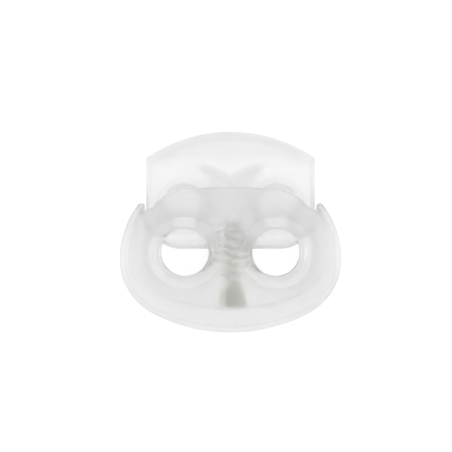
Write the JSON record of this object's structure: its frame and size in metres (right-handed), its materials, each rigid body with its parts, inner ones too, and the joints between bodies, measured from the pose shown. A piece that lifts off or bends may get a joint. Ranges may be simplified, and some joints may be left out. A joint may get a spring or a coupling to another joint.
{
  "type": "cord lock",
  "caption": "Spring-loaded two-hole cord lock: flat oval clear plastic barrel with collared cord holes and a sliding plunger button that grips the cords when released.",
  "frame": {"origin": "centre of the bounding box's bottom face: the lock lies on its back, on the flat rims round its cord holes", "axes": "+X across both cord holes, +Y out of the mouth, the way the plunger points, +Z along the cord holes, out of the front face"},
  "size_m": [0.023, 0.0208, 0.009],
  "materials": {
    "barrel_plastic": "clear, very slightly milky moulded plastic, glossy",
    "plunger_plastic": "clear, very slightly milky moulded plastic, glossy",
    "spring_steel": "drawn steel wire"
  },
  "bodies": {
    "barrel": {"barrel_body": "barrel_plastic", "coil_spring": "spring_steel"},
    "plunger": {"plunger_button": "plunger_plastic"}
  },
  "joints": [
    {"name": "plunger_press", "type": "slide", "parent": "barrel", "child": "plunger", "axis": [0, -1, 0], "range_m": [0, 0.00476], "stiffness_N_per_m": 1350, "springref_m": -0.0015, "deforming": ["coil_spring"]}
  ]
}
